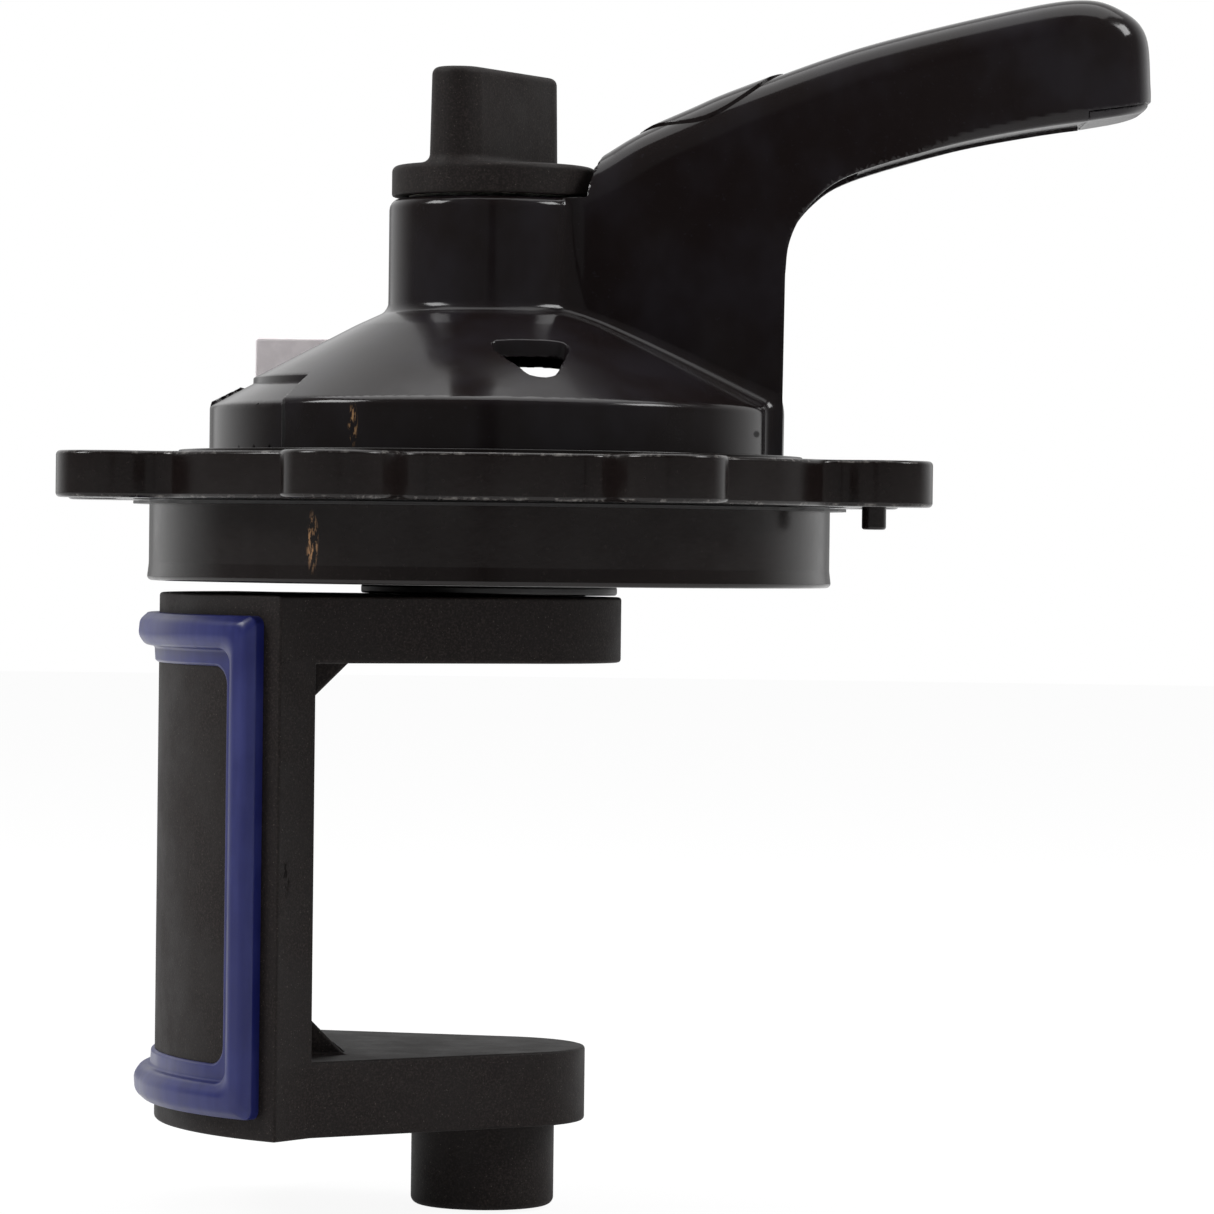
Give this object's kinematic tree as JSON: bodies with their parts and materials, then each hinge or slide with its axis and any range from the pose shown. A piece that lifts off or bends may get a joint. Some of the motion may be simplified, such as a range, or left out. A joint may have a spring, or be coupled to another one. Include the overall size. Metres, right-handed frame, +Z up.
{
  "type": "manual vacuum head",
  "caption": "Top-access diverter valve head: lobed round lid with skirt, angled lever handle and locking wing knob above, C-shaped ported diverter with a framed port seal below.",
  "frame": {"origin": "centre of the pivot pin's end face, on the turning axis", "axes": "+Z up the turning axis from the pivot pin to the knob; +X along the lever, so -X is the gate's side; +Y away from the viewer who has the lever on the right"},
  "size_m": [0.1922, 0.1536, 0.2133],
  "materials": {
    "gloss_black": "polished moulding",
    "satin_black": "semi-gloss moulding",
    "matt_black": "glass-filled, matt",
    "seal_blue": "smooth elastomer",
    "soft_black": "smooth elastomer",
    "bearing_white": "smooth",
    "tab_grey": "smooth",
    "brass": "turned",
    "steel": "brushed"
  },
  "bodies": {
    "lid": {"lid_plate": "satin_black", "lid_gasket": "soft_black", "shaft_bushing": "bearing_white", "position_tab": "tab_grey"},
    "valve": {"diverter": "matt_black", "port_seal": "seal_blue", "thrust_washer": "soft_black", "shaft_o_ring_lower": "soft_black", "shaft_o_ring_upper": "soft_black", "retaining_ring": "steel", "threaded_insert": "brass", "handle": "gloss_black", "grip_underside_cover": "gloss_black"},
    "knob_carrier": {"knob_washer": "bearing_white"},
    "knob": {"knob": "matt_black", "knob_stud": "steel"}
  },
  "joints": [
    {"name": "valve_turn", "type": "hinge", "parent": "lid", "child": "valve", "pos_m": [0, 0, 0.1295], "axis": [0, 0, 1], "continuous": true},
    {"name": "knob_lift", "type": "slide", "parent": "valve", "child": "knob_carrier", "axis": [0, 0, 1], "range_m": [0, 0.004]},
    {"name": "knob_turn", "type": "hinge", "parent": "knob_carrier", "child": "knob", "pos_m": [0, 0, 0.1796], "axis": [0, 0, 1], "range_deg": [0, 725]}
  ],
  "couplings": [
    {"joint": "knob_turn", "follows": "knob_lift", "rad_per_m": 3141.6}
  ]
}
